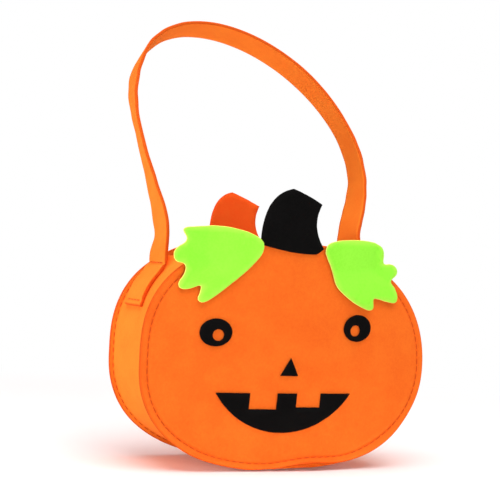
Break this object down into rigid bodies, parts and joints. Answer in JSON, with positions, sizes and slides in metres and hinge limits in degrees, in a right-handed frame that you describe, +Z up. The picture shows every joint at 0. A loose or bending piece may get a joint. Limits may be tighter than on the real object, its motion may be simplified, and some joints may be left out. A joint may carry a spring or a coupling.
{
  "type": "felt treat bag",
  "caption": "Round orange felt treat bag with a cut-felt jack-o'-lantern face, green leaves, stems and a strap handle that leans back.",
  "frame": {"origin": "on the floor under the middle of the bag, halfway between the seam edges of its two panels", "axes": "+Z up; +X along the front panel towards the viewer's right; +Y from the front panel to the back panel"},
  "size_m": [0.2, 0.165, 0.3057],
  "materials": {
    "orange_felt": "matt",
    "deep_orange_felt": "matt",
    "lime_felt": "matt",
    "black_felt": "matt",
    "orange_thread": "satin"
  },
  "bodies": {
    "bag": {"front_panel": "orange_felt", "back_panel": "orange_felt", "gusset": "orange_felt", "left_strap_end": "orange_felt", "right_strap_end": "orange_felt", "front_stem": "black_felt", "back_stem": "deep_orange_felt", "left_leaf": "lime_felt", "right_leaf": "lime_felt", "left_eye": "black_felt", "right_eye": "black_felt", "nose": "black_felt", "mouth": "black_felt", "front_seam_thread": "orange_thread", "back_seam_thread": "orange_thread", "left_strap_thread": "orange_thread", "right_strap_thread": "orange_thread"},
    "handle": {"handle_loop": "orange_felt"}
  },
  "joints": [
    {"name": "handle_swing", "type": "hinge", "parent": "bag", "child": "handle", "pos_m": [0, 0.0144, 0.1398], "axis": [1, 0, 0], "range_deg": [-38, 82]}
  ]
}
